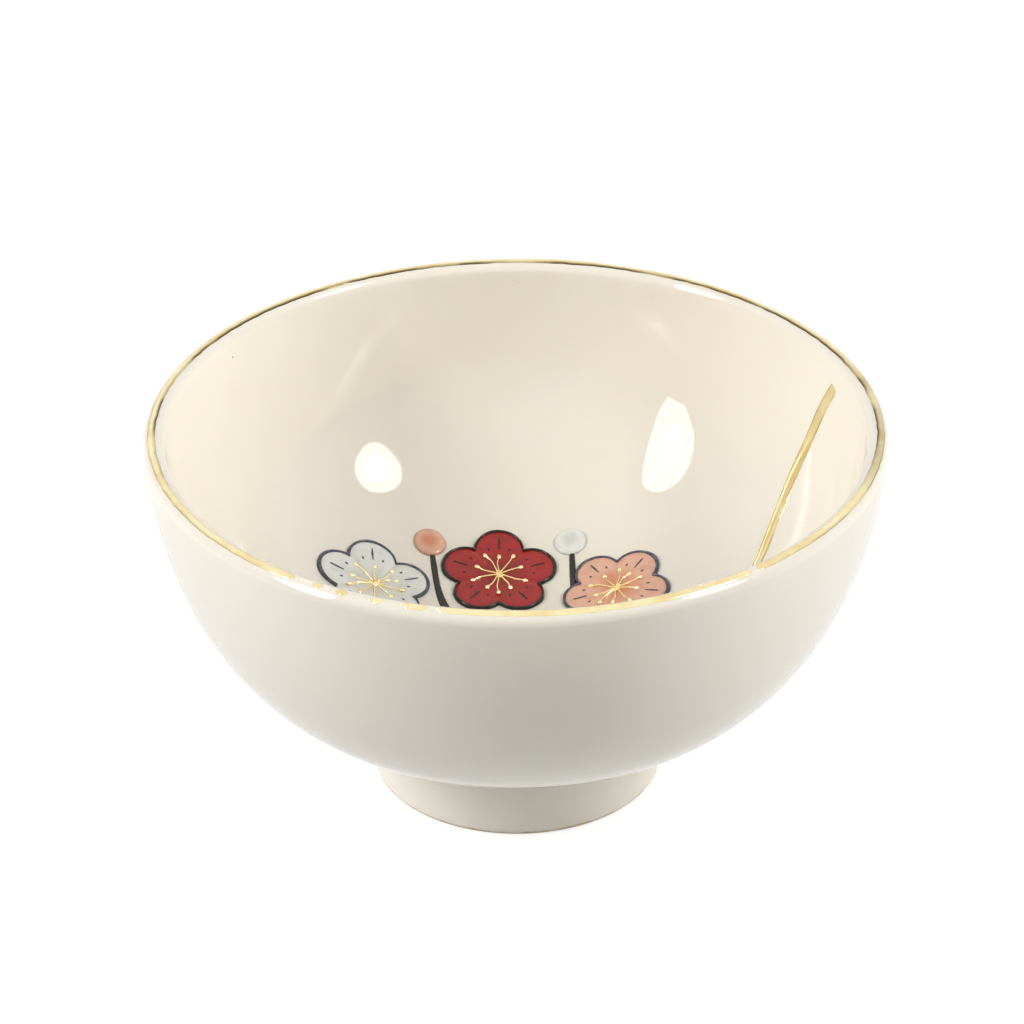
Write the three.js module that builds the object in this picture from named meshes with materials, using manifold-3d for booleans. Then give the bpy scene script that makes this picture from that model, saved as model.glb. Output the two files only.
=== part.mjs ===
// A small porcelain sake cup: a thin round bowl standing on a separately made foot ring,
// a gilt line on its lip, a gilt stripe down its wall, and a plum spray in raised enamels
// on the floor inside. Millimetres, +Z up, origin on the axis in the plane it stands on.
import * as THREE from "three";
import { mergeVertices } from "three/addons/utils/BufferGeometryUtils.js";
import Module from "manifold-3d";

const wasm = await Module();
wasm.setup();

// Bowl
const RIM_RADIUS = 30; // outside of the lip
const CUP_HEIGHT = 31.8; // table to the crown of the lip
const LIP_THICKNESS = 1.8;
const LIP_LEAN = THREE.MathUtils.degToRad(4.8); // the wall still opens this much at the lip
const FLOOR_THICKNESS = 3.1; // at the middle, foot recess to inside floor
const UNDERSIDE_SAG = 0.25; // the middle of the underside hangs this much below its seat
const UNDERSIDE_SLOPE = THREE.MathUtils.degToRad(6.5); // the belly's rise where it leaves the foot
const BELLY_FULLNESS = 0.53; // shares of the span that the curves' handles reach over
const WALL_FULLNESS = 0.6;
const FLOOR_FULLNESS = 0.7;
const INSIDE_WALL_FULLNESS = 0.7;

// Foot ring
const FOOT_HEIGHT = 6.9;
const FOOT_RADIUS = 11.9; // outside, just above the standing edge
const FOOT_WAIST_RADIUS = 11.5; // outside, just under the bowl
const FOOT_WALL = 2.5;
const FOOT_EDGE_ROUND = 0.45; // the standing edge's two rounded corners
const FOOT_FILLET = 0.6; // slip wiped round where the ring meets the bowl

// Gilding
const GILT_THICKNESS = 0.1;
const LIP_GILT_INSIDE = 0.3; // reach of the lip's gilt line from the crown, along the lip
const LIP_GILT_OUTSIDE = 0.6;
const STRIPE_WIDTH_TOP = 1.4;
const STRIPE_WIDTH_END = 0.6;
const STRIPE_AZIMUTH = THREE.MathUtils.degToRad(22); // from +X towards +Y
const STRIPE_TOP_GAP = 2.1; // from the crown of the lip down to the stripe's top

// Enamels, laid in three coats: brown-black line, petals, gold stamens
const FIT_GAP = 0.02; // between one coat and what it lies on
const LINE_THICKNESS = 0.12;
const PETAL_THICKNESS = 0.25;
const PETALS = 5;
const PETAL_SPREAD = 0.57; // petal circle's centre and radius, as shares of the blossom's
const PETAL_SIZE = 0.43;
const STAMENS = 10;
const STAMEN_REACH = 0.5; // share of the blossom's radius
const STAMEN_CORE = 0.17;
const SPRAY_REACH = 16; // from the cup's axis to the spray's outermost buds
const STEM_WIDTH_START = 1.7;
const STEM_WIDTH_END = 0.7;
const TWIG_WIDTH_START = 0.9;
const TWIG_WIDTH_END = 0.45;

// Fineness of the facets
const TURN_STEPS = 72;
const CURVE_STEPS = 12;
const LIP_STEPS = 4;
const LOBE_STEPS = 6;
const STROKE_STEPS = 12;

const look = (color, roughness, metalness) =>
  new THREE.MeshStandardMaterial({ color, roughness, metalness });
const porcelain = look("#e9e0cf", 0.12, 0);
const biscuitEdged = look("#e4dac7", 0.2, 0);
const gold = look("#c99f4c", 0.25, 1);
const enamel = (color) => look(color, 0.2, 0);
const RED = "#8f1410";
const PEACH = "#d9a184";
const WHITE = "#dfe1dc";
const BLACK = "#17130f";

// Profiles, as points of (radius, height)
const at = (r, z) => new THREE.Vector2(r, z);
const along = (angle, length) => at(Math.cos(angle) * length, Math.sin(angle) * length);
const cubic = (a, b, c, d, steps) => new THREE.CubicBezierCurve(a, b, c, d).getPoints(steps);

const lipRadius = LIP_THICKNESS / 2;
const lipCentre = at(RIM_RADIUS - lipRadius, CUP_HEIGHT - lipRadius);
const wallUp = Math.PI / 2 - LIP_LEAN; // direction of both walls where they reach the lip

// The point of the lip at this distance along it, outwards from the crown.
function onLip(reach, radius = lipRadius) {
  return along(Math.PI / 2 - reach / lipRadius, radius).add(lipCentre);
}
const lipEnd = lipRadius * wallUp; // from the crown to where the outside wall takes over
const lipStart = lipEnd - lipRadius * Math.PI; // and the inside wall

// Points of the lip between two distances from the crown.
function lipArc(from, to, steps, radius = lipRadius) {
  return Array.from({ length: steps + 1 }, (_, i) => onLip(from + ((to - from) * i) / steps, radius));
}

// The belly: one curve from the foot ring's fillet up to the lip.
function outsideWall() {
  const start = at(FOOT_WAIST_RADIUS + FOOT_FILLET, FOOT_HEIGHT);
  const end = onLip(lipEnd);
  const belly = along(UNDERSIDE_SLOPE, BELLY_FULLNESS * (end.x - start.x)).add(start);
  const wall = along(wallUp, -WALL_FULLNESS * (end.y - start.y)).add(end);
  return cubic(start, belly, wall, end, CURVE_STEPS);
}

// The inside: one curve from the lip down to the middle of the floor, raised off the glaze by lift.
const floorHeight = FOOT_HEIGHT - UNDERSIDE_SAG + FLOOR_THICKNESS;
function insideWall(lift = 0) {
  const end = onLip(lipStart, lipRadius + lift);
  const middle = at(0, floorHeight + lift);
  const wall = along(wallUp, -INSIDE_WALL_FULLNESS * (end.y - middle.y)).add(end);
  const floor = at(FLOOR_FULLNESS * end.x, middle.y);
  return cubic(end, wall, floor, middle, CURVE_STEPS);
}

// The foot recess's inside radius at its top, and the flat seat between the two parts.
const recessRadius = FOOT_WAIST_RADIUS - FOOT_WALL;

function bowlProfile() {
  return [
    at(0, FOOT_HEIGHT - UNDERSIDE_SAG),
    at((recessRadius - FOOT_FILLET) / 2, FOOT_HEIGHT - UNDERSIDE_SAG * 0.75),
    at(recessRadius - FOOT_FILLET, FOOT_HEIGHT),
    ...outsideWall(),
    ...lipArc(lipEnd, LIP_GILT_OUTSIDE, LIP_STEPS).slice(1),
    ...lipArc(LIP_GILT_OUTSIDE, -LIP_GILT_INSIDE, LIP_STEPS).slice(1),
    ...lipArc(-LIP_GILT_INSIDE, lipStart, LIP_STEPS).slice(1),
    ...insideWall().slice(1),
  ];
}

// Round corner of a profile: points of a quarter turn about a centre.
function corner(centre, radius, from, steps = 3) {
  return Array.from({ length: steps + 1 }, (_, i) =>
    along(from + ((Math.PI / 2) * i) / steps, radius).add(centre),
  );
}

function footProfile() {
  const innerRadius = FOOT_RADIUS - FOOT_WALL;
  const filletHeight = FOOT_HEIGHT - FOOT_FILLET;
  const edge = FOOT_EDGE_ROUND;
  const outer = [
    ...corner(at(FOOT_RADIUS - edge, edge), edge, -Math.PI / 2),
    ...corner(at(FOOT_WAIST_RADIUS + FOOT_FILLET, filletHeight), FOOT_FILLET, Math.PI / 2).reverse(),
  ];
  const inner = [
    ...corner(at(recessRadius - FOOT_FILLET, filletHeight), FOOT_FILLET, 0).reverse(),
    ...corner(at(innerRadius + edge, edge), edge, Math.PI),
  ];
  return [...outer, ...inner];
}

function lipGiltProfile() {
  const under = lipRadius + FIT_GAP;
  const steps = LIP_STEPS;
  return [
    ...lipArc(LIP_GILT_OUTSIDE, -LIP_GILT_INSIDE, steps, under + GILT_THICKNESS),
    ...lipArc(-LIP_GILT_INSIDE, LIP_GILT_OUTSIDE, steps, under),
  ];
}

// A closed surface of revolution about Z, from a profile that closes on itself or on the axis.
function revolve(profile) {
  const closed = profile[0].x === 0 ? profile : [...profile, profile[0].clone()];
  return new THREE.LatheGeometry(closed, TURN_STEPS).rotateX(Math.PI / 2);
}

// Booleans
function solid(geometry) {
  const bare = geometry.clone();
  bare.deleteAttribute("normal");
  bare.deleteAttribute("uv");
  const merged = mergeVertices(bare, 1e-4);
  return new wasm.Manifold(
    new wasm.Mesh({
      numProp: 3,
      vertProperties: merged.getAttribute("position").array,
      triVerts: new Uint32Array(merged.index.array),
    }),
  );
}

function geometryOf(manifold) {
  const { numProp, numVert, vertProperties, triVerts } = manifold.getMesh();
  const position = new Float32Array(numVert * 3);
  for (let i = 0; i < numVert; i++) {
    position.set(vertProperties.subarray(i * numProp, i * numProp + 3), i * 3);
  }
  const geometry = new THREE.BufferGeometry();
  geometry.setAttribute("position", new THREE.BufferAttribute(position, 3));
  geometry.setIndex(new THREE.BufferAttribute(triVerts, 1));
  geometry.computeVertexNormals();
  return geometry;
}

// A coat of even thickness over the whole inside of the bowl, lifted off the glaze.
function coat(lift, thickness) {
  return solid(revolve([...insideWall(lift).reverse(), ...insideWall(lift + thickness)]));
}

const lineLift = FIT_GAP;
const petalLift = lineLift + LINE_THICKNESS + FIT_GAP;
const stamenLift = petalLift + PETAL_THICKNESS + FIT_GAP;
const lineCoat = coat(lineLift, LINE_THICKNESS);
const petalCoat = coat(petalLift, PETAL_THICKNESS);
const stamenCoat = coat(stamenLift, GILT_THICKNESS);
const stripeCoat = coat(FIT_GAP, GILT_THICKNESS);

// An outline seen from above, as an upright block as tall as the cup.
function upright(shape) {
  const options = { depth: CUP_HEIGHT, bevelEnabled: false, curveSegments: LOBE_STEPS };
  return solid(new THREE.ExtrudeGeometry(shape, options));
}

// Five round petals whose circles meet in notches.
function blossomOutline({ x, y, radius, turn }) {
  const spread = radius * PETAL_SPREAD;
  const size = radius * PETAL_SIZE;
  const half = Math.PI / PETALS;
  const notch = spread * Math.cos(half) + Math.sqrt(size ** 2 - (spread * Math.sin(half)) ** 2);
  const open = Math.atan2(notch * Math.sin(half), notch * Math.cos(half) - spread);
  const shape = new THREE.Shape();
  for (let k = 0; k < PETALS; k++) {
    const angle = turn + 2 * half * k;
    const cx = x + spread * Math.cos(angle);
    const cy = y + spread * Math.sin(angle);
    shape.absarc(cx, cy, size, angle - open, angle + open, false);
  }
  return shape;
}

// A star of fine points round a small core.
function stamenOutline({ x, y, radius, turn }) {
  const points = Array.from({ length: STAMENS * 2 }, (_, i) => {
    const reach = radius * (i % 2 ? STAMEN_CORE : STAMEN_REACH);
    const angle = turn + (Math.PI * i) / STAMENS;
    return at(x + reach * Math.cos(angle), y + reach * Math.sin(angle));
  });
  return new THREE.Shape(points);
}

// A brush stroke along a smooth curve, tapering from one width to another.
function strokeOutline(route, widthStart, widthEnd) {
  const curve = new THREE.SplineCurve(route);
  const sides = [-1, 1].map((side) =>
    Array.from({ length: STROKE_STEPS + 1 }, (_, i) => {
      const t = i / STROKE_STEPS;
      const across = curve.getTangent(t).rotateAround(at(0, 0), Math.PI / 2);
      const width = widthStart + (widthEnd - widthStart) * t;
      return curve.getPoint(t).addScaledVector(across, (side * width) / 2);
    }),
  );
  return new THREE.Shape([...sides[0], ...sides[1].reverse()]);
}

// The spray. Places and sizes are shares of its reach, from the cup's axis, +Y away from the drinker.
const STEM = [
  [0.844, -0.594], [0.531, -0.287], [0.2, 0.013], [-0.163, 0.15], [-0.525, 0.1], [-0.887, -0.075],
];
const TWIGS = [
  [[0.2, 0.013], [0.1, 0.275], [-0.094, 0.65]],
  [[0.519, -0.275], [0.556, 0.087], [0.525, 0.487]],
  [[-0.512, 0.1], [-0.65, 0.275], [-0.75, 0.487]],
  [[-0.212, 0.15], [-0.388, 0.475], [-0.45, 0.85]],
  [[0.338, -0.1], [0.306, 0.4], [0.294, 0.875]],
  [[-0.025, 0.113], [-0.15, -0.1], [-0.287, -0.388]],
  [[0.6, -0.35], [0.475, -0.5], [0.4, -0.662]],
];
const BLOSSOMS = [
  { name: "white_blossom", color: WHITE, x: -0.75, y: 0.537, radius: 0.3, turn: 0.4 },
  { name: "red_blossom", color: RED, x: -0.094, y: 0.713, radius: 0.312, turn: 1.57 },
  { name: "peach_blossom", color: PEACH, x: 0.525, y: 0.55, radius: 0.287, turn: 0.9 },
  { name: "near_peach_blossom", color: PEACH, x: -0.312, y: -0.463, radius: 0.275, turn: 0.2 },
  { name: "near_white_blossom", color: WHITE, x: 0.375, y: -0.75, radius: 0.225, turn: 1.2 },
].map(atSize);
const BUDS = [
  { name: "white_bud", color: WHITE, x: 0.287, y: 0.938, radius: 0.087 },
  { name: "peach_bud", color: PEACH, x: -0.463, y: 0.912, radius: 0.087 },
  { name: "red_bud", color: RED, x: -0.963, y: -0.113, radius: 0.087 },
].map(atSize);

function atSize({ x, y, radius, ...rest }) {
  return { x: x * SPRAY_REACH, y: y * SPRAY_REACH, radius: radius * SPRAY_REACH, ...rest };
}
const inPlan = (route) => route.map(([x, y]) => at(x * SPRAY_REACH, y * SPRAY_REACH));

function branch() {
  const strokes = [
    strokeOutline(inPlan(STEM), STEM_WIDTH_START, STEM_WIDTH_END),
    ...TWIGS.map((twig) => strokeOutline(inPlan(twig), TWIG_WIDTH_START, TWIG_WIDTH_END)),
  ];
  const blocks = strokes.map(upright);
  return blocks.reduce((sum, block) => sum.add(block)).intersect(lineCoat);
}

function budOutline({ x, y, radius }) {
  const shape = new THREE.Shape();
  shape.absarc(x, y, radius, 0, 2 * Math.PI, false);
  return shape;
}

// The stripe: the wall's coat inside a brush stroke drawn on an upright plane and carried outwards
// from the axis. Its points are (sideways, down from the stripe's top), as it lies on that plane.
const STRIPE_ROUTE = [[-0.7, 0], [0.9, 3.6], [1.6, 8.8], [0.6, 12.3], [-1.5, 14.8], [-2.9, 15.9]];
function stripe() {
  const top = CUP_HEIGHT - STRIPE_TOP_GAP;
  const stroke = strokeOutline(
    STRIPE_ROUTE.map(([aside, down]) => at(aside, top - down)),
    STRIPE_WIDTH_TOP,
    STRIPE_WIDTH_END,
  );
  const aside = new THREE.Vector3(-Math.sin(STRIPE_AZIMUTH), Math.cos(STRIPE_AZIMUTH), 0);
  const up = new THREE.Vector3(0, 0, 1);
  const facing = new THREE.Matrix4().makeBasis(aside, up, aside.clone().cross(up));
  const slab = new THREE.ExtrudeGeometry(stroke, { depth: RIM_RADIUS, bevelEnabled: false });
  return stripeCoat.intersect(solid(slab.applyMatrix4(facing)));
}

const cup = new THREE.Group();
function add(name, geometry, material) {
  const mesh = new THREE.Mesh(geometry, material);
  mesh.name = name;
  cup.add(mesh);
}

add("bowl", revolve(bowlProfile()), porcelain);
add("foot_ring", revolve(footProfile()), biscuitEdged);
add("lip_gilding", revolve(lipGiltProfile()), gold);
add("wall_gilt_stripe", geometryOf(stripe()), gold);
add("plum_branch", geometryOf(branch()), enamel(BLACK));
for (const blossom of BLOSSOMS) {
  const petals = upright(blossomOutline(blossom)).intersect(petalCoat);
  const stamens = upright(stamenOutline(blossom)).intersect(stamenCoat);
  add(blossom.name, geometryOf(petals), enamel(blossom.color));
  add(`${blossom.name}_stamens`, geometryOf(stamens), gold);
}
for (const bud of BUDS) {
  add(bud.name, geometryOf(upright(budOutline(bud)).intersect(petalCoat)), enamel(bud.color));
}

export default cup;
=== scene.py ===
"""A porcelain sake cup with a gilt lip, a gilt stripe and a plum spray in raised enamels.

All shapes are worked out in millimetres in the cup's own frame and go into the meshes in
metres. The axis is Z, the cup stands on the plane z = 0, and +Y points away from the drinker.
"""
import math

import bmesh
import bpy
import numpy as np
from mathutils import Matrix


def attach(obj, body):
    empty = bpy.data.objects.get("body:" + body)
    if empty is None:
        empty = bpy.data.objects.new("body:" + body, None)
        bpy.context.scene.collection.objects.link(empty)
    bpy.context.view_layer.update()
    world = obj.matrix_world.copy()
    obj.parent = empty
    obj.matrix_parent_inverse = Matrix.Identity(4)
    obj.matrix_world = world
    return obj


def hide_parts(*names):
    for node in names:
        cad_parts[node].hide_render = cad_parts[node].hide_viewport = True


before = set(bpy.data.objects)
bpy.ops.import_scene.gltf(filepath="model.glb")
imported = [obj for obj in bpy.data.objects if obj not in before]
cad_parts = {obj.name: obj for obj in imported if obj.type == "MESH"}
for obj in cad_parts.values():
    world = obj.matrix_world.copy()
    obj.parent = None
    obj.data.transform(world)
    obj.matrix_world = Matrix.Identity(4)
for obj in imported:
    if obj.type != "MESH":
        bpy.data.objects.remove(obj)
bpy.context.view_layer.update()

MM = 0.001
TAU = 2 * math.pi

# The potter's sizes, in millimetres
RIM_RADIUS = 30.0
CUP_HEIGHT = 31.8
LIP_THICKNESS = 1.8
LIP_LEAN = math.radians(4.8)
FLOOR_THICKNESS = 3.1
UNDERSIDE_SAG = 0.25
UNDERSIDE_SLOPE = math.radians(6.5)
BELLY_FULLNESS = 0.53
WALL_FULLNESS = 0.6
FLOOR_FULLNESS = 0.7
INSIDE_WALL_FULLNESS = 0.7

FOOT_HEIGHT = 6.9
FOOT_RADIUS = 11.9
FOOT_WAIST_RADIUS = 11.5
FOOT_WALL = 2.5
FOOT_EDGE_ROUND = 0.45
FOOT_FILLET = 0.6

GILT_THICKNESS = 0.05
GILT_SINK = 0.01
LIP_LINE_COLUMNS = 1440
LIP_LINE_ROWS = 14
STRIPE_AZIMUTH = math.radians(22)
STRIPE_TOP = CUP_HEIGHT - 2.1
STRIPE_THICKNESS = 0.08
STRIPE_ROWS = 90

SPRAY_REACH = 16.0
STEM_THICKNESS = 0.14
TWIG_THICKNESS = 0.13
PETAL_THICKNESS = 0.32
PETAL_RIM = 0.05
ENAMEL_SINK = 0.03

TURN_COLUMNS = 288
STROKE_COLUMNS = 12


# Curves and grids
def bezier(a, b, c, d, count):
    """Cubic Bezier: (1-t)^3 a + 3 (1-t)^2 t b + 3 (1-t) t^2 c + t^3 d, for t from 0 to 1."""
    t = np.linspace(0, 1, count)[:, None]
    a, b, c, d = (np.asarray(p, float) for p in (a, b, c, d))
    return (1 - t) ** 3 * a + 3 * (1 - t) ** 2 * t * b + 3 * (1 - t) * t**2 * c + t**3 * d


def arc(centre, radius, start, end, count):
    """Circle points: centre + radius (cos a, sin a), for a from start to end."""
    a = np.linspace(start, end, count)
    return np.asarray(centre, float) + radius * np.stack([np.cos(a), np.sin(a)], axis=1)


def smooth_route(points, count):
    """Uniform Catmull-Rom spline through the points, its end points doubled, sampled evenly in t."""
    p = np.asarray(points, float)
    p = np.vstack([p[:1], p, p[-1:]])
    s = np.linspace(0, len(points) - 1, count)
    k = np.minimum(s.astype(int), len(points) - 2)
    t = (s - k)[:, None]
    a, b, c, d = p[k], p[k + 1], p[k + 2], p[k + 3]
    return 0.5 * (
        2 * b + (c - a) * t + (2 * a - 5 * b + 4 * c - d) * t**2 + (3 * b - a - 3 * c + d) * t**3
    )


def hand(angle, depth, turns, phases):
    """A hand's unsteadiness round the cup: depth times the mean of sin(turns * angle + phase)."""
    return depth * np.mean([np.sin(n * angle + f) for n, f in zip(turns, phases)], axis=0)


# The bowl's two walls
LIP_ROUND = LIP_THICKNESS / 2
LIP_CENTRE = np.array([RIM_RADIUS - LIP_ROUND, CUP_HEIGHT - LIP_ROUND])
WALL_DIRECTION = np.array([math.sin(LIP_LEAN), math.cos(LIP_LEAN)])
RECESS_RADIUS = FOOT_WAIST_RADIUS - FOOT_WALL
FLOOR_HEIGHT = FOOT_HEIGHT - UNDERSIDE_SAG + FLOOR_THICKNESS


def outside_wall(count):
    """The belly: a Bezier that leaves the foot at the underside's slope and meets the lip's round."""
    start = np.array([FOOT_WAIST_RADIUS + FOOT_FILLET, FOOT_HEIGHT])
    end = LIP_CENTRE + LIP_ROUND * np.array([math.cos(LIP_LEAN), -math.sin(LIP_LEAN)])
    reach = BELLY_FULLNESS * (end[0] - start[0])
    belly = start + reach * np.array([math.cos(UNDERSIDE_SLOPE), math.sin(UNDERSIDE_SLOPE)])
    wall = end - WALL_FULLNESS * (end[1] - start[1]) * WALL_DIRECTION
    return bezier(start, belly, wall, end, count)


def inside_wall(count):
    """The inside: a Bezier from the lip's round down to a level middle of the floor."""
    end = LIP_CENTRE + LIP_ROUND * np.array([-math.cos(LIP_LEAN), math.sin(LIP_LEAN)])
    middle = np.array([0, FLOOR_HEIGHT])
    wall = end - INSIDE_WALL_FULLNESS * (end[1] - middle[1]) * WALL_DIRECTION
    return bezier(end, wall, (FLOOR_FULLNESS * end[0], middle[1]), middle, count)


def bowl_profile():
    """(radius, height) from the middle of the underside, up the belly, over the lip and down inside."""
    seat = RECESS_RADIUS - FOOT_FILLET
    r = np.linspace(0, seat, 14)
    under = np.stack([r, FOOT_HEIGHT - UNDERSIDE_SAG * (1 - (r / seat) ** 2)], axis=1)
    lip = arc(LIP_CENTRE, LIP_ROUND, -LIP_LEAN, math.pi - LIP_LEAN, 31)
    return np.vstack([under, outside_wall(72), lip[1:], inside_wall(90)[1:]])


INSIDE = inside_wall(600)[::-1]
INSIDE_SLOPE = np.gradient(INSIDE[:, 1], INSIDE[:, 0])


def unevenness(angle, height):
    """How far the thrown wall stands in from a true circle: under 0.06 mm, none at the foot."""
    rise = np.clip((height - 8) / 14, 0, 1)
    slow = hand(angle, 0.03, (2, 3, 5), (0.6, 2.1, 4.0))
    quick = hand(angle + 0.05 * height, 0.012, (9, 13, 17), (1.0, 3.2, 5.1))
    return (0.034 + slow + quick) * rise


def on_floor(x, y, lift):
    """The point of the inside wall under plan place (x, y), moved off it by lift along its normal."""
    r = np.hypot(x, y) + 1e-9
    z = np.interp(r, INSIDE[:, 0], INSIDE[:, 1])
    slope = np.interp(r, INSIDE[:, 0], INSIDE_SLOPE)
    steep = np.sqrt(1 + slope**2)
    out = -slope / steep
    return np.stack([x + lift * out * x / r, y + lift * out * y / r, z + lift / steep], axis=-1)


def on_side(aside, height, lift):
    """The point of the inside wall seen along the stripe's azimuth at (aside, height), moved by lift."""
    r = np.interp(height, INSIDE[:, 1], INSIDE[:, 0])
    angle = STRIPE_AZIMUTH + np.arcsin(aside / r)
    return on_floor(r * np.cos(angle), r * np.sin(angle), lift)


# Meshes
def signed_volume(points, faces):
    """Sum over the quads' two triangles of a . (b x c) / 6."""
    total = 0.0
    for corners in ((0, 1, 2), (0, 2, 3)):
        a, b, c = (points[faces[:, k]] for k in corners)
        total += np.einsum("ij,ij->", a, np.cross(b, c)) / 6
    return total


def piece_from(name, grids, material, nodes, attributes=None):
    """One object from closed grids of points (rows, columns, 3). Columns close on themselves, and so
    do rows where the grid says so; otherwise its first and last row are poles or shrink to a point."""
    points, faces, start = [], [], 0
    for grid, rows_close in grids:
        rows, columns = grid.shape[:2]
        index = start + np.arange(rows * columns).reshape(rows, columns)
        below = index if rows_close else index[:-1]
        above = np.roll(index, -1, axis=0) if rows_close else index[1:]
        right, above_right = np.roll(below, -1, axis=1), np.roll(above, -1, axis=1)
        quads = np.stack([below, right, above_right, above], axis=-1).reshape(-1, 4)
        flat = grid.reshape(-1, 3)
        if signed_volume(flat, quads - start) < 0:
            quads = quads[:, ::-1]
        points.append(flat)
        faces.append(quads)
        start += rows * columns
    points, faces = np.vstack(points) * MM, np.vstack(faces)
    mesh = bpy.data.meshes.new(name)
    mesh.from_pydata(points.tolist(), [], faces.tolist())
    for title, values in (attributes or {}).items():
        layer = mesh.attributes.new(title, "FLOAT", "POINT")
        layer.data.foreach_set("value", np.ascontiguousarray(values, np.float32).ravel())
    shape = bmesh.new()
    shape.from_mesh(mesh)
    bmesh.ops.remove_doubles(shape, verts=shape.verts, dist=1e-8)
    shape.to_mesh(mesh)
    shape.free()
    mesh.polygons.foreach_set("use_smooth", np.ones(len(mesh.polygons), bool))
    mesh.materials.append(material)
    piece = bpy.data.objects.new(name, mesh)
    bpy.context.scene.collection.objects.link(piece)
    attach(piece, "root")
    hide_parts(*nodes)
    return piece


def turned(profile, uneven=True):
    """Surface of revolution: (r cos a, r sin a, z), with r drawn in by the thrown wall's unevenness."""
    angle = np.linspace(0, TAU, TURN_COLUMNS, endpoint=False)[None, :]
    r, z = profile[:, :1], profile[:, 1:]
    if uneven:
        r = np.maximum(r - unevenness(angle, z) * np.clip(r / 12, 0, 1), 0)
    z = np.broadcast_to(z, np.broadcast(r, angle).shape)
    return np.stack([r * np.cos(angle), r * np.sin(angle), z], axis=-1)


# Finishes
def srgb(red, green, blue):
    """An sRGB colour of 0 to 255 as the linear colour that the shaders take."""
    c = np.array([red, green, blue]) / 255
    linear = np.where(c <= 0.04045, c / 12.92, ((c + 0.055) / 1.055) ** 2.4)
    return (*linear.tolist(), 1.0)


class Finish:
    """A material whose nodes are added one by one and joined as they are made."""

    def __init__(self, name):
        self.material = bpy.data.materials.new(name)
        self.material.use_nodes = True
        self.nodes = self.material.node_tree.nodes
        self.links = self.material.node_tree.links
        self.shader = self.nodes["Principled BSDF"]
        self.place = self.add("ShaderNodeTexCoord").outputs["Object"]

    def add(self, kind, **settings):
        node = self.nodes.new(kind)
        for key, value in settings.items():
            setattr(node, key, value)
        return node

    def join(self, source, node, socket):
        self.links.new(source, node.inputs[socket])

    def constants(self, **values):
        for key, value in values.items():
            self.shader.inputs[key.replace("_", " ")].default_value = value

    def noise(self, scale, detail=2.0, roughness=0.5):
        node = self.add("ShaderNodeTexNoise")
        node.inputs["Scale"].default_value = scale
        node.inputs["Detail"].default_value = detail
        node.inputs["Roughness"].default_value = roughness
        self.join(self.place, node, "Vector")
        return node.outputs["Fac"]

    def ramp(self, source, stops):
        node = self.add("ShaderNodeValToRGB")
        elements = node.color_ramp.elements
        while len(elements) < len(stops):
            elements.new(0.5)
        for element, (position, colour) in zip(elements, stops):
            element.position = position
            element.color = colour
        self.join(source, node, "Fac")
        return node.outputs["Color"]

    def level(self, source, low, high, to_low, to_high):
        node = self.add("ShaderNodeMapRange")
        for socket, value in zip(("From Min", "From Max", "To Min", "To Max"), (low, high, to_low, to_high)):
            node.inputs[socket].default_value = value
        self.join(source, node, "Value")
        return node.outputs["Result"]

    def math(self, operation, first, second):
        node = self.add("ShaderNodeMath", operation=operation)
        for k, value in enumerate((first, second)):
            if isinstance(value, float):
                node.inputs[k].default_value = value
            else:
                self.links.new(value, node.inputs[k])
        return node.outputs[0]

    def mix(self, factor, first, second):
        """A mix of two colours. The node's sockets 0, 6 and 7 and its output 2 are those for colours."""
        node = self.add("ShaderNodeMix", data_type="RGBA")
        for socket, value in ((0, factor), (6, first), (7, second)):
            if isinstance(value, (float, tuple)):
                node.inputs[socket].default_value = value
            else:
                self.links.new(value, node.inputs[socket])
        return node.outputs[2]

    def bump(self, height, distance):
        node = self.add("ShaderNodeBump")
        node.inputs["Distance"].default_value = distance
        node.inputs["Strength"].default_value = 1.0
        self.join(height, node, "Height")
        self.links.new(node.outputs["Normal"], self.shader.inputs["Normal"])

    def colour(self, source):
        self.join(source, self.shader, "Base Color")

    def attribute(self, title):
        return self.add("ShaderNodeAttribute", attribute_name=title).outputs["Fac"]

    def height(self):
        node = self.add("ShaderNodeSeparateXYZ")
        self.join(self.place, node, "Vector")
        return node.outputs["Z"]


def specks(finish, cells_per_metre, share, radius):
    """1 in a spot of that radius round the point of every cell whose own random value is under share."""
    cells = finish.add("ShaderNodeTexVoronoi")
    cells.inputs["Scale"].default_value = cells_per_metre
    finish.join(finish.place, cells, "Vector")
    split = finish.add("ShaderNodeSeparateColor")
    finish.join(cells.outputs["Color"], split, "Color")
    chosen = finish.math("LESS_THAN", split.outputs["Red"], share)
    edge = radius * cells_per_metre
    spot = finish.level(cells.outputs["Distance"], 0.5 * edge, edge, 1.0, 0.0)
    return finish.math("MULTIPLY", chosen, spot)


IVORY = srgb(240, 235, 224)
IVORY_DEEP = srgb(237, 231, 217)
SPECK = srgb(120, 96, 66)
BISCUIT = srgb(214, 190, 150)
BISCUIT_DEEP = srgb(196, 168, 126)
GOLD = srgb(253, 239, 190)
GOLD_THIN = srgb(242, 216, 156)
# A brown painted into the gold as a painted reflection of a dark room.
GOLD_DARK_REFLECTION = srgb(84, 66, 30)
LINE_BLACK = srgb(22, 17, 14)
LINE_BLACK_WORN = srgb(58, 44, 38)
LINE_GREY = srgb(66, 72, 88)
LINE_GREY_WORN = srgb(124, 118, 126)
GLAZE_WAVE = 7.0
BARE_EDGE_HEIGHT = 0.00034


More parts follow.
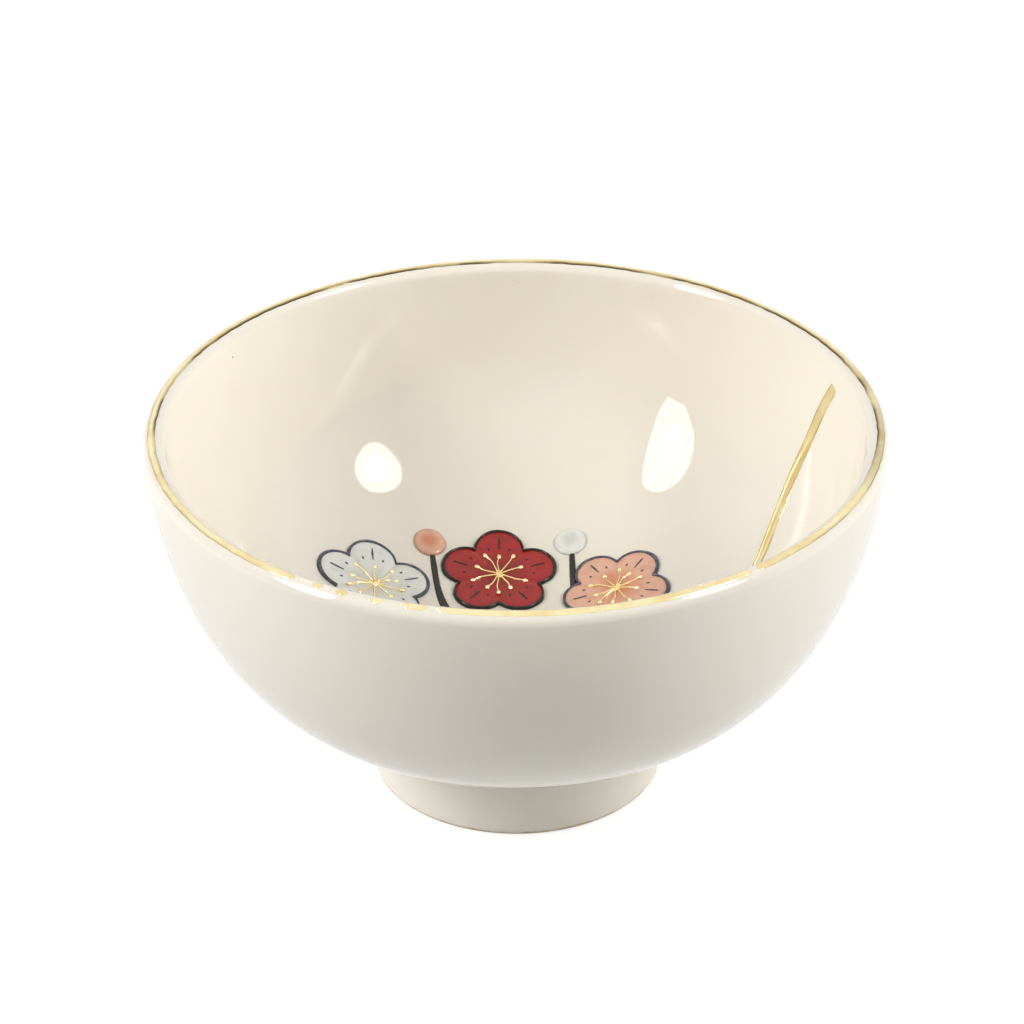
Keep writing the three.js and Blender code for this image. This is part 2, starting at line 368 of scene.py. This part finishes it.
def ivory_glaze(name, bare_below=None):
    """Clear glaze over an ivory body: cloudy by a few shades, a few iron specks, slow waves and a
    slight orange peel."""
    f = Finish(name)
    body = f.ramp(f.noise(55.0, 3.0), [(0.3, IVORY), (0.7, IVORY_DEEP)])
    body = f.mix(specks(f, 210.0, 0.12, 0.00011), body, SPECK)
    rough = f.level(f.noise(120.0), 0.3, 0.7, 0.03, 0.05)
    if bare_below is not None:
        edge = f.level(f.noise(900.0), 0.3, 0.7, -0.00012, 0.00012)
        low = f.math("ADD", f.height(), edge)
        bare = f.level(low, bare_below - 0.00006, bare_below + 0.00006, 1.0, 0.0)
        grain = f.ramp(f.noise(3000.0, 3.0), [(0.3, BISCUIT), (0.7, BISCUIT_DEEP)])
        body = f.mix(bare, body, grain)
        rough = f.math("ADD", rough, f.math("MULTIPLY", bare, 0.6))
    f.colour(body)
    f.join(rough, f.shader, "Roughness")
    waves = f.math("MULTIPLY", f.noise(130.0, 1.0), GLAZE_WAVE)
    f.bump(f.math("ADD", f.noise(330.0, 2.0), waves), 0.00001)
    f.constants(IOR=1.7, Subsurface_Weight=0.12, Subsurface_Scale=0.001, Subsurface_Radius=(1.0, 0.75, 0.5))
    return f.material


def gilding(name):
    """Overglaze gold: thinner and a shade browner in places, painted brown along some edges as a painted
    reflection of a dark room, a little duller where it is rubbed."""
    f = Finish(name)
    thin = f.level(f.noise(260.0, 3.0, 0.6), 0.4, 0.65, 0.0, 1.0)
    # Painted reflection: brown where the mesh's mask marks gold that stands in for a mirrored dark room.
    painted_dark = f.math("MULTIPLY", f.attribute("dark_reflection_mask"), f.level(f.noise(180.0), 0.35, 0.5, 0.35, 1.0))
    f.colour(f.mix(painted_dark, f.mix(thin, GOLD, GOLD_THIN), GOLD_DARK_REFLECTION))
    f.join(f.level(f.noise(900.0, 3.0), 0.3, 0.7, 0.06, 0.16), f.shader, "Roughness")
    f.bump(f.noise(1800.0, 2.0), 0.000004)
    f.constants(Metallic=1.0)
    return f.material


def raised_enamel(name, edge, heart, mottling):
    """Glossy enamel, washed from the heart's colour to the edge's, and mottled where it lay thinner."""
    f = Finish(name)
    wash = f.math("ADD", f.attribute("outwards"), f.level(f.noise(420.0, 3.0), 0.3, 0.7, -0.15, 0.15))
    body = f.ramp(wash, [(0.15, heart), (0.62, edge)])
    f.colour(f.mix(f.level(f.noise(1100.0, 4.0, 0.6), 0.5, 0.72, 0.0, 0.55), body, mottling))
    f.join(f.level(f.noise(800.0), 0.3, 0.7, 0.1, 0.22), f.shader, "Roughness")
    f.bump(f.noise(1300.0, 2.0), 0.00003)
    f.constants(IOR=1.5)
    return f.material


def brushed_line(name, colour, worn):
    """A brushed enamel line whose colour breaks up a little, as thin overglaze lines do."""
    f = Finish(name)
    broken = f.level(f.noise(2400.0, 4.0, 0.6), 0.5, 0.66, 0.0, 0.7)
    f.colour(f.mix(broken, colour, worn))
    f.join(f.level(f.noise(1500.0), 0.3, 0.7, 0.15, 0.35), f.shader, "Roughness")
    f.bump(f.noise(2000.0), 0.00002)
    f.constants(IOR=1.5)
    return f.material


glaze = ivory_glaze("ivory_glaze")
foot_glaze = ivory_glaze("ivory_glaze_bare_edge", bare_below=BARE_EDGE_HEIGHT)
gold = gilding("worn_gold")
black_line = brushed_line("black_enamel", LINE_BLACK, LINE_BLACK_WORN)
grey_line = brushed_line("blue_grey_enamel", LINE_GREY, LINE_GREY_WORN)
petal_finishes = {
    "white": raised_enamel("white_enamel", srgb(232, 234, 230), srgb(214, 214, 206), srgb(206, 212, 212)),
    "red": raised_enamel("red_enamel", srgb(168, 22, 14), srgb(128, 12, 8), srgb(110, 10, 8)),
    "peach": raised_enamel("peach_enamel", srgb(228, 178, 154), srgb(214, 140, 104), srgb(204, 150, 128)),
}


# Bowl and foot
def foot_profile():
    """(radius, height) round the foot ring's section: standing edge, outside, seat, recess wall."""
    inner = FOOT_RADIUS - FOOT_WALL
    e, h, f = FOOT_EDGE_ROUND, FOOT_HEIGHT, FOOT_FILLET
    outside = np.vstack([
        arc((FOOT_RADIUS - e, e), e, -math.pi / 2, 0, 10),
        np.linspace((FOOT_RADIUS, e), (FOOT_WAIST_RADIUS, h - f), 22)[1:-1],
        arc((FOOT_WAIST_RADIUS + f, h - f), f, math.pi, math.pi / 2, 12),
    ])
    recess = np.vstack([
        arc((RECESS_RADIUS - f, h - f), f, math.pi / 2, 0, 12),
        np.linspace((RECESS_RADIUS, h - f), (inner, e), 22)[1:-1],
        arc((inner + e, e), e, math.pi, 1.5 * math.pi, 10),
    ])
    return np.vstack([outside, recess])


piece_from("bowl_body", [(turned(bowl_profile()), False)], glaze, ["bowl"])
piece_from("foot_body", [(turned(foot_profile(), uneven=False), True)], foot_glaze, ["foot_ring"])


# Gilding
# Where the lip's line is rubbed through: the bearing of the gap's middle and its width, in degrees.
RUBBED_THROUGH = [(236.5, 3.2), (241.0, 2.2), (246.0, 3.6), (251.5, 2.6), (257.5, 1.2), (308, 0.8)]
GAP_TAPER = math.radians(0.8)


def lip_line():
    """The gilt line on the lip's round, and how much painted dark reflection browns each of its points.

    Its two edges wander, and it is rubbed through near the front left. Its section is a flat lens: lift =
    thickness * sin(a)^0.6 above, a hair's breadth below. Brown is painted along its inner edge on the far
    side, along both edges at the left and right, and a little all over at the right, as a painted reflection
    of a dark room in the gold."""
    angle = np.linspace(0, TAU, LIP_LINE_COLUMNS, endpoint=False)
    fine = hand(angle, 0.06, (23, 41, 67, 97, 131), (0.3, 1.7, 2.9, 4.4, 5.6))
    slow = hand(angle, 0.12, (2, 3, 7), (2.2, 0.4, 3.9))
    far, near, right = np.clip(np.sin(angle), 0, 1), np.clip(-np.sin(angle), 0, 1), np.cos(angle)
    inside = 0.12 + 0.27 * far + 0.12 * near + fine * 0.7 + slow * 0.3
    outside = 0.52 - fine * 0.6 + slow * 0.5
    laid = np.ones_like(angle)
    for where, wide in RUBBED_THROUGH:
        away = np.abs((angle - math.radians(where) + math.pi) % TAU - math.pi)
        laid = np.minimum(laid, np.clip((away - math.radians(wide) / 2) / GAP_TAPER, 0.02, 1))
    middle = (outside - inside) / 2
    half = (outside + inside) / 2 * laid
    section = np.linspace(0, TAU, LIP_LINE_ROWS, endpoint=False)[:, None]
    reach = middle + half * np.cos(section)
    above = GILT_THICKNESS * laid**0.5 * np.clip(np.sin(section), 0, 1) ** 0.6
    lift = np.where(np.sin(section) > 0, above, -GILT_SINK)
    lean = math.pi / 2 - reach / LIP_ROUND
    r = LIP_CENTRE[0] + (LIP_ROUND + lift) * np.cos(lean)
    z = LIP_CENTRE[1] + (LIP_ROUND + lift) * np.sin(lean)
    r = r - unevenness(angle[None, :], z)
    grid = np.stack([r * np.cos(angle), r * np.sin(angle), z], axis=-1)
    # Painted reflection of a dark room: brown at the inner edge, at both edges on the left and right, and
    # over the right.
    inner_edge = np.clip((-np.cos(section) - 0.4) / 0.3, 0, 1) * np.clip(1.2 - 2.4 * near, 0.1, 1)
    outer_edge = np.clip((np.cos(section) - 0.5) / 0.4, 0, 1) * np.clip(np.abs(right) * 2.4 - 1.5, 0, 0.8)
    all_over = np.clip(right * 5 - 4.5, 0, 0.35)
    return grid, np.maximum(np.maximum(inner_edge, outer_edge), all_over)


def flat_stroke(route, widths, thickness, place, count, sink=ENAMEL_SINK):
    """A brush stroke along a smooth route: its section is a low half-ellipse, half the width times
    cos(a) across and the thickness times sin(a) up, and both ends shrink to a point."""
    path = smooth_route(route, count)
    along = np.gradient(path, axis=0)
    along /= np.linalg.norm(along, axis=1, keepdims=True)
    across = np.stack([-along[:, 1], along[:, 0]], axis=1)
    t = np.linspace(0, 1, count)
    width = np.interp(t, np.linspace(0, 1, len(widths)), widths)
    near_end = np.minimum(t, 1 - t) * np.linalg.norm(np.diff(path, axis=0), axis=1).sum()
    from_end = np.clip(near_end / (width / 2), 0, 1)
    cap = np.sqrt(from_end * (2 - from_end))
    section = np.linspace(0, TAU, STROKE_COLUMNS, endpoint=False)[None, :]
    aside = (width * cap / 2)[:, None] * np.cos(section)
    rise = np.where(np.sin(section) > 0, thickness, sink) * np.sin(section) * cap[:, None]
    u = path[:, :1] + across[:, :1] * aside
    v = path[:, 1:] + across[:, 1:] * aside
    return place(u, v, rise)


lip_grid, lip_dark_reflection = lip_line()
piece_from("lip_gilding_line", [(lip_grid, True)], gold, ["lip_gilding"], {"dark_reflection_mask": lip_dark_reflection})

# The stripe's route as (aside, down from its top), seen from the middle of the cup, and its widths.
STRIPE_ROUTE = [(-0.7, 0), (0.9, 3.6), (1.6, 8.8), (0.6, 12.3), (-1.5, 14.8), (-2.9, 15.9)]
STRIPE_WIDTHS = (1.2, 1.4, 1.35, 1.1, 0.8, 0.45)


def wall_stripe():
    """The stripe down the wall, and how much painted dark reflection browns it: along both edges and towards
    its end.
    """
    route = [(aside, STRIPE_TOP - down) for aside, down in STRIPE_ROUTE]
    grid = flat_stroke(route, STRIPE_WIDTHS, STRIPE_THICKNESS, on_side, STRIPE_ROWS)
    down = np.linspace(0, 1, STRIPE_ROWS)[:, None]
    section = np.linspace(0, TAU, STROKE_COLUMNS, endpoint=False)[None, :]
    # Painted reflection of a dark room: brown along both edges and towards the lower end, where the gold
    # shows no lamp.
    edges = np.clip((np.abs(np.cos(section)) - 0.6) / 0.4, 0, 1) * 0.7
    return grid, edges + np.clip(down * 3 - 2.2, 0, 0.5)


stripe_grid, stripe_dark_reflection = wall_stripe()
piece_from("gilt_stripe", [(stripe_grid, False)], gold, ["wall_gilt_stripe"],
           {"dark_reflection_mask": stripe_dark_reflection})


# The plum spray
# Routes and places are shares of the spray's reach. A blossom's row gives its name, its enamel, where
# its heart is, its radius and its turn in radians. A bud's row ends with its radius.
STEM = [(0.844, -0.594), (0.531, -0.287), (0.2, 0.013), (-0.163, 0.15), (-0.525, 0.1), (-0.887, -0.075)]
TWIGS = [
    [(0.2, 0.013), (0.1, 0.275), (-0.094, 0.65)],
    [(0.519, -0.275), (0.556, 0.087), (0.525, 0.487)],
    [(-0.512, 0.1), (-0.65, 0.275), (-0.75, 0.487)],
    [(-0.212, 0.15), (-0.388, 0.475), (-0.45, 0.85)],
    [(0.338, -0.1), (0.306, 0.4), (0.294, 0.875)],
    [(-0.025, 0.113), (-0.15, -0.1), (-0.287, -0.388)],
    [(0.6, -0.35), (0.475, -0.5), (0.4, -0.662)],
]
BLOSSOMS = [
    ("white_blossom", "white", -0.75, 0.537, 0.3, 0.4),
    ("red_blossom", "red", -0.094, 0.713, 0.312, 1.57),
    ("peach_blossom", "peach", 0.525, 0.55, 0.287, 0.9),
    ("near_peach_blossom", "peach", -0.312, -0.463, 0.275, 0.2),
    ("near_white_blossom", "white", 0.375, -0.75, 0.225, 1.2),
]
BUDS = [
    ("white_bud", "white", 0.287, 0.938, 0.087),
    ("peach_bud", "peach", -0.463, 0.912, 0.087),
    ("red_bud", "red", -0.963, -0.113, 0.087),
]
PETALS = 5
PETAL_SPREAD = 0.57
PETAL_SIZE = 0.43
VEIN_WIDTHS = (0.12, 0.2, 0.1)
STAMEN_WIDTHS = (0.16, 0.14, 0.14)
ANTHER_WIDTHS = (0.3, 0.42, 0.3)
HEART_WIDTHS = (0.5, 0.7, 0.5)


def plan(route):
    """A route in shares of the spray's reach, in millimetres."""
    return [(x * SPRAY_REACH, y * SPRAY_REACH) for x, y in route]


def branch_strokes():
    """The stem and its twigs, swelling at their knots."""
    swell = np.array([1.0, 1.12, 0.94, 1.08, 0.9, 1.04, 0.95])
    stem_widths, twig_widths = np.linspace(1.7, 0.7, 7) * swell, np.linspace(0.9, 0.45, 7) * swell
    stem = flat_stroke(plan(STEM), stem_widths, STEM_THICKNESS, on_floor, 120)
    twigs = [flat_stroke(plan(twig), twig_widths, TWIG_THICKNESS, on_floor, 50) for twig in TWIGS]
    return [(stroke, False) for stroke in [stem, *twigs]]


piece_from("plum_branch_strokes", branch_strokes(), black_line, ["plum_branch"])


def petal_edge(angle, turn):
    """Reach of the five-petal outline at an angle, for a blossom of radius 1: the far crossing with
    the petal's circle, spread * cos(d) + sqrt(size^2 - spread^2 sin(d)^2), d from the petal's axis."""
    step = TAU / PETALS
    d = (angle - turn + step / 2) % step - step / 2
    return PETAL_SPREAD * np.cos(d) + np.sqrt(PETAL_SIZE**2 - (PETAL_SPREAD * np.sin(d)) ** 2), d


def petals_grid(x, y, radius, turn):
    """A cushion of enamel inside the outline: thick over each petal, thinner in the grooves between
    them and at the heart, round at its edge, and closed by a floor sunk just under the glaze."""
    angle = np.linspace(0, TAU, 160, endpoint=False)[None, :]
    edge, d = petal_edge(angle, turn)
    upper = np.concatenate([np.linspace(0, 0.85, 18), np.linspace(0.88, 1, 9)])
    share = np.concatenate([upper, np.linspace(0.8, 0, 5)])[:, None]
    top = np.arange(len(share))[:, None] < len(upper)
    groove = 0.5 * np.exp(-(((np.abs(d) - TAU / PETALS / 2) / 0.11) ** 2)) * np.clip(share * 2 - 0.3, 0, 1)
    heart = 0.35 * np.exp(-((share / 0.22) ** 2))
    rim_round = np.sqrt(np.clip(1 - share**7, 0, 1))
    cushion = (PETAL_THICKNESS - PETAL_RIM) * (1 - groove) * (1 - heart) * rim_round
    rise = np.where(top, PETAL_RIM + cushion, -ENAMEL_SINK)
    reach = share * edge * radius
    grid = on_floor(x + reach * np.cos(angle), y + reach * np.sin(angle), rise)
    return grid, np.broadcast_to(np.where(top, share, 1.0), grid.shape[:2])


def stroke_grids(routes, widths, thickness, lift):
    """Thin strokes that ride on the petals, as one list of grids."""
    def on_petal(u, v, rise):
        return on_floor(u, v, lift + rise)
    return [(flat_stroke(route, widths, thickness, on_petal, 22, sink=0.12), False) for route in routes]


def outline_grid(x, y, radius, turn):
    """The brushed outline: a closed ring on the petals' edge, wider and narrower as the hand went."""
    angle = np.linspace(0, TAU, 240, endpoint=False)[:, None]
    edge, _ = petal_edge(angle, turn)
    width = 0.34 + hand(angle, 0.1, (3, 8, 13), (0.5, 2.0, 4.2))
    section = np.linspace(0, TAU, STROKE_COLUMNS, endpoint=False)[None, :]
    reach = edge * radius - 0.1 + width / 2 * np.cos(section)
    rise = np.where(np.sin(section) > 0, 0.33, 0.05) * np.sin(section)
    return on_floor(x + reach * np.cos(angle), y + reach * np.sin(angle), rise)


def ray(x, y, radius, angle, start, end, bend=0.0):
    """A short route from start to end shares of the radius, bent sideways by bend."""
    shares = np.linspace(start, end, 4)
    turn = angle + bend * np.sin(np.linspace(0, math.pi, 4))
    return [(x + radius * s * math.cos(a), y + radius * s * math.sin(a)) for s, a in zip(shares, turn)]


def blossom(name, colour, x, y, radius, turn):
    """Petals, their outline and veins, and the gold stamens with their anthers."""
    x, y, radius = x * SPRAY_REACH, y * SPRAY_REACH, radius * SPRAY_REACH
    grid, outwards = petals_grid(x, y, radius, turn)
    piece_from(f"{name}_petals", [(grid, False)], petal_finishes[colour], [name],
               {"outwards": outwards})
    step = TAU / PETALS
    veins = [
        ray(x, y, radius, turn + k * step + aside, 0.56, 0.82 - 2.2 * abs(aside) ** 2, 0.02 * aside)
        for k in range(PETALS) for aside in (-0.3, 0.0, 0.3)
    ]
    drawn = [(outline_grid(x, y, radius, turn), True), *stroke_grids(veins, VEIN_WIDTHS, 0.07, 0.3)]
    line = black_line if colour == "red" else grey_line
    piece_from(f"{name}_lines", drawn, line, [name])
    stamens, anthers = [], []
    for k in range(2 * PETALS):
        angle = turn + step / 2 * k + 0.12 * math.sin(5 * k)
        reach = 0.46 if k % 2 else 0.38
        stamens.append(ray(x, y, radius, angle, 0.06, reach, 0.12 * math.cos(3 * k)))
        anthers.append(ray(x, y, radius, angle, reach - 0.03, reach + 0.07))
    heart = [ray(x, y, radius, turn, -0.09, 0.09)]
    gold_parts = (
        stroke_grids(stamens, STAMEN_WIDTHS, 0.1, 0.28)
        + stroke_grids(anthers, ANTHER_WIDTHS, 0.13, 0.3)
        + stroke_grids(heart, HEART_WIDTHS, 0.14, 0.22)
    )
    piece_from(f"{name}_gold", gold_parts, gold, [f"{name}_stamens"])


for settings in BLOSSOMS:
    blossom(*settings)


def bud(name, colour, x, y, radius):
    """A round drop of enamel: lift = 0.34 * sqrt(1 - s^4) + 0.04 at the share s of its radius, closed
    by a floor sunk just under the glaze."""
    x, y, radius = x * SPRAY_REACH, y * SPRAY_REACH, radius * SPRAY_REACH
    angle = np.linspace(0, TAU, 72, endpoint=False)[None, :]
    upper = np.linspace(0, 1, 16)
    share = np.concatenate([upper, np.linspace(0.8, 0, 4)])[:, None]
    top = np.arange(len(share))[:, None] < len(upper)
    rise = np.where(top, 0.34 * np.sqrt(np.clip(1 - share**4, 0, 1)) + 0.04, -ENAMEL_SINK)
    grid = on_floor(x + share * radius * np.cos(angle), y + share * radius * np.sin(angle), rise)
    outwards = np.broadcast_to(np.where(top, share, 1.0), grid.shape[:2])
    piece_from(f"{name}_drop", [(grid, False)], petal_finishes[colour], [name],
               {"outwards": outwards})


for settings in BUDS:
    bud(*settings)


# Floor, light and camera
FLOOR_REACH = 1.5
FLOOR_LIFT = 0.74
FLOOR_WHITE = (0.42, 0.42, 0.415, 1)
WHITE = (1, 1, 1, 1)
# Broad light from part of the room: where it comes from, the cosine at which it ends, its strength.
FILLS = (
    ((1, 0, 0.2), 0.8, 4.1),
    ((-1, 0, 0.2), 0.8, 2.2),
    ((0, -1, 0.3), 0.8, 0.4),
)
FILL_COLOUR = (1.0, 1.0, 0.97, 1)


def seen_ray(nodes, links):
    """1 for camera, mirror and transmitted rays, 0 for the rays that carry light on."""
    path = nodes.new("ShaderNodeLightPath")
    total = path.outputs["Is Camera Ray"]
    for name in ("Is Glossy Ray", "Is Transmission Ray"):
        add = nodes.new("ShaderNodeMath")
        add.operation = "ADD"
        add.use_clamp = True
        links.new(total, add.inputs[0])
        links.new(path.outputs[name], add.inputs[1])
        total = add.outputs[0]
    return total


def studio_floor():
    """A plain white sheet at z = 0. Camera and mirror rays see it lifted to white, with its shadow."""
    mesh = bpy.data.meshes.new("floor_sheet")
    s = FLOOR_REACH
    mesh.from_pydata([(-s, -s, 0), (s, -s, 0), (s, s, 0), (-s, s, 0)], [], [(0, 1, 2, 3)])
    sheet = bpy.data.objects.new("floor_sheet", mesh)
    bpy.context.scene.collection.objects.link(sheet)
    material = bpy.data.materials.new("white_paper")
    material.use_nodes = True
    nodes, links = material.node_tree.nodes, material.node_tree.links
    shader = nodes["Principled BSDF"]
    shader.inputs["Base Color"].default_value = FLOOR_WHITE
    shader.inputs["Roughness"].default_value = 0.9
    shader.inputs["Specular IOR Level"].default_value = 0.2
    shader.inputs["Emission Color"].default_value = WHITE
    seen = seen_ray(nodes, links)
    strength = nodes.new("ShaderNodeMath")
    strength.operation = "MULTIPLY"
    strength.inputs[1].default_value = FLOOR_LIFT
    links.new(seen, strength.inputs[0])
    links.new(strength.outputs[0], shader.inputs["Emission Strength"])
    mesh.materials.append(material)


def studio_world():
    """The room. Camera rays see white. Mirror rays see white above and on the far side, and a greyer
    room low on the near side. As light, it is the sum of FILLS."""
    world = bpy.data.worlds.new("studio")
    bpy.context.scene.world = world
    world.use_nodes = True
    nodes, links = world.node_tree.nodes, world.node_tree.links
    place = nodes.new("ShaderNodeTexCoord")

    def spread(direction, low, high, to_low, to_high):
        """From to_low to to_high as the cosine to that direction goes from low to high."""
        along = nodes.new("ShaderNodeVectorMath")
        along.operation = "DOT_PRODUCT"
        along.inputs[1].default_value = np.array(direction) / np.linalg.norm(direction)
        links.new(place.outputs["Generated"], along.inputs[0])
        node = nodes.new("ShaderNodeMapRange")
        for socket, value in zip(("From Min", "From Max", "To Min", "To Max"), (low, high, to_low, to_high)):
            node.inputs[socket].default_value = value
        links.new(along.outputs["Value"], node.inputs["Value"])
        return node.outputs["Result"]

    fill = nodes["Background"]
    fill.inputs["Color"].default_value = FILL_COLOUR
    total = None
    for direction, end, strength in FILLS:
        add = nodes.new("ShaderNodeMath")
        add.operation = "ADD"
        add.inputs[0].default_value = 0.0
        if total:
            links.new(total, add.inputs[0])
        links.new(spread(direction, end, 1, 0, strength), add.inputs[1])
        total = add.outputs[0]
    links.new(total, fill.inputs["Strength"])
    mirrored = nodes.new("ShaderNodeBackground")
    lighter = nodes.new("ShaderNodeMath")
    lighter.operation = "MAXIMUM"
    links.new(spread((0, 1, 0), -0.1, 0.3, 0.04, 1.0), lighter.inputs[0])
    links.new(spread((0, 0, 1), 0.0, 0.55, 0.45, 1.0), lighter.inputs[1])
    links.new(lighter.outputs[0], mirrored.inputs["Strength"])
    white = nodes.new("ShaderNodeBackground")
    for node in (mirrored, white):
        node.inputs["Color"].default_value = WHITE
    path = nodes.new("ShaderNodeLightPath")
    last = fill.outputs[0]
    rooms = (("Is Glossy Ray", mirrored), ("Is Transmission Ray", white), ("Is Camera Ray", white))
    for seen, shader in rooms:
        mix = nodes.new("ShaderNodeMixShader")
        links.new(path.outputs[seen], mix.inputs[0])
        links.new(last, mix.inputs[1])
        links.new(shader.outputs[0], mix.inputs[2])
        last = mix.outputs[0]
    links.new(last, nodes["World Output"].inputs["Surface"])


LAMP_DISTANCE = 0.5
LAMP_AIM = (0, 0, 0.018)
LAMP_COLOUR = (1.0, 0.985, 0.965)
# Azimuth, elevation and roll of the two lamps, in degrees.
RIGHT_LAMP = (109.4, 46.3, -30)
LEFT_LAMP = (-112.2, 33.9, 23.6)


def lamp(name, bearing, size, brightness, away):
    """An oval soft box of that radiance, away times LAMP_DISTANCE from the cup, its two sizes given as
    angles' tangents and turned by its roll. Azimuth 0 is away from the camera, 90 right."""
    a, e, turn = (math.radians(angle) for angle in bearing)
    back = np.array([math.sin(a) * math.cos(e), math.cos(a) * math.cos(e), math.sin(e)])
    level = np.cross([0, 0, 1], back)
    level /= np.linalg.norm(level)
    over = np.cross(back, level)
    right = level * math.cos(turn) + over * math.sin(turn)
    up = -level * math.sin(turn) + over * math.cos(turn)
    data = bpy.data.lights.new(name, "AREA")
    data.shape = "ELLIPSE"
    distance = away * LAMP_DISTANCE
    data.size, data.size_y = size[0] * distance, size[1] * distance
    data.energy = brightness * math.pi * (math.pi / 4 * data.size * data.size_y)
    data.color = LAMP_COLOUR
    light = bpy.data.objects.new(name, data)
    bpy.context.scene.collection.objects.link(light)
    at = back * distance + np.array(LAMP_AIM)
    rows = [[*row, at[k]] for k, row in enumerate(np.stack([right, up, back], 1))]
    light.matrix_world = Matrix(rows + [[0, 0, 0, 1]])


studio_floor()
studio_world()
lamp("right_soft_box", RIGHT_LAMP, (0.268, 0.522), 5.2, 1.0)
lamp("left_soft_box", LEFT_LAMP, (0.288, 0.94), 4.6, 1.0)
lamp("right_bulb", RIGHT_LAMP, (0.11, 0.24), 40.0, 0.98)
lamp("left_bulb", LEFT_LAMP, (0.09, 0.4), 40.0, 0.98)

PITCH, YAW, ROLL = 0.52382, -0.00112, -0.00609
EYE = (0.0, -0.31813, 0.20739)
SENSOR = 36
FOCAL_PIXELS = 4525
PICTURE_PIXELS = 1024


def photograph_camera():
    """The camera of the picture: 30 degrees down, a long lens, no shift."""
    forward = np.array([math.sin(YAW) * math.cos(PITCH), math.cos(YAW) * math.cos(PITCH), -math.sin(PITCH)])
    level = np.array([math.cos(YAW), -math.sin(YAW), 0])
    over = np.cross(level, forward)
    right = level * math.cos(ROLL) + over * math.sin(ROLL)
    up = -level * math.sin(ROLL) + over * math.cos(ROLL)
    data = bpy.data.cameras.new("camera")
    data.lens = SENSOR * FOCAL_PIXELS / PICTURE_PIXELS
    data.clip_start, data.clip_end = 0.01, 10
    camera = bpy.data.objects.new("camera", data)
    bpy.context.scene.collection.objects.link(camera)
    axes = np.stack([right, up, -forward], 1)
    camera.matrix_world = Matrix([[*row, EYE[k]] for k, row in enumerate(axes)] + [[0, 0, 0, 1]])
    bpy.context.scene.camera = camera


photograph_camera()
bpy.context.scene.view_settings.view_transform = "Standard"
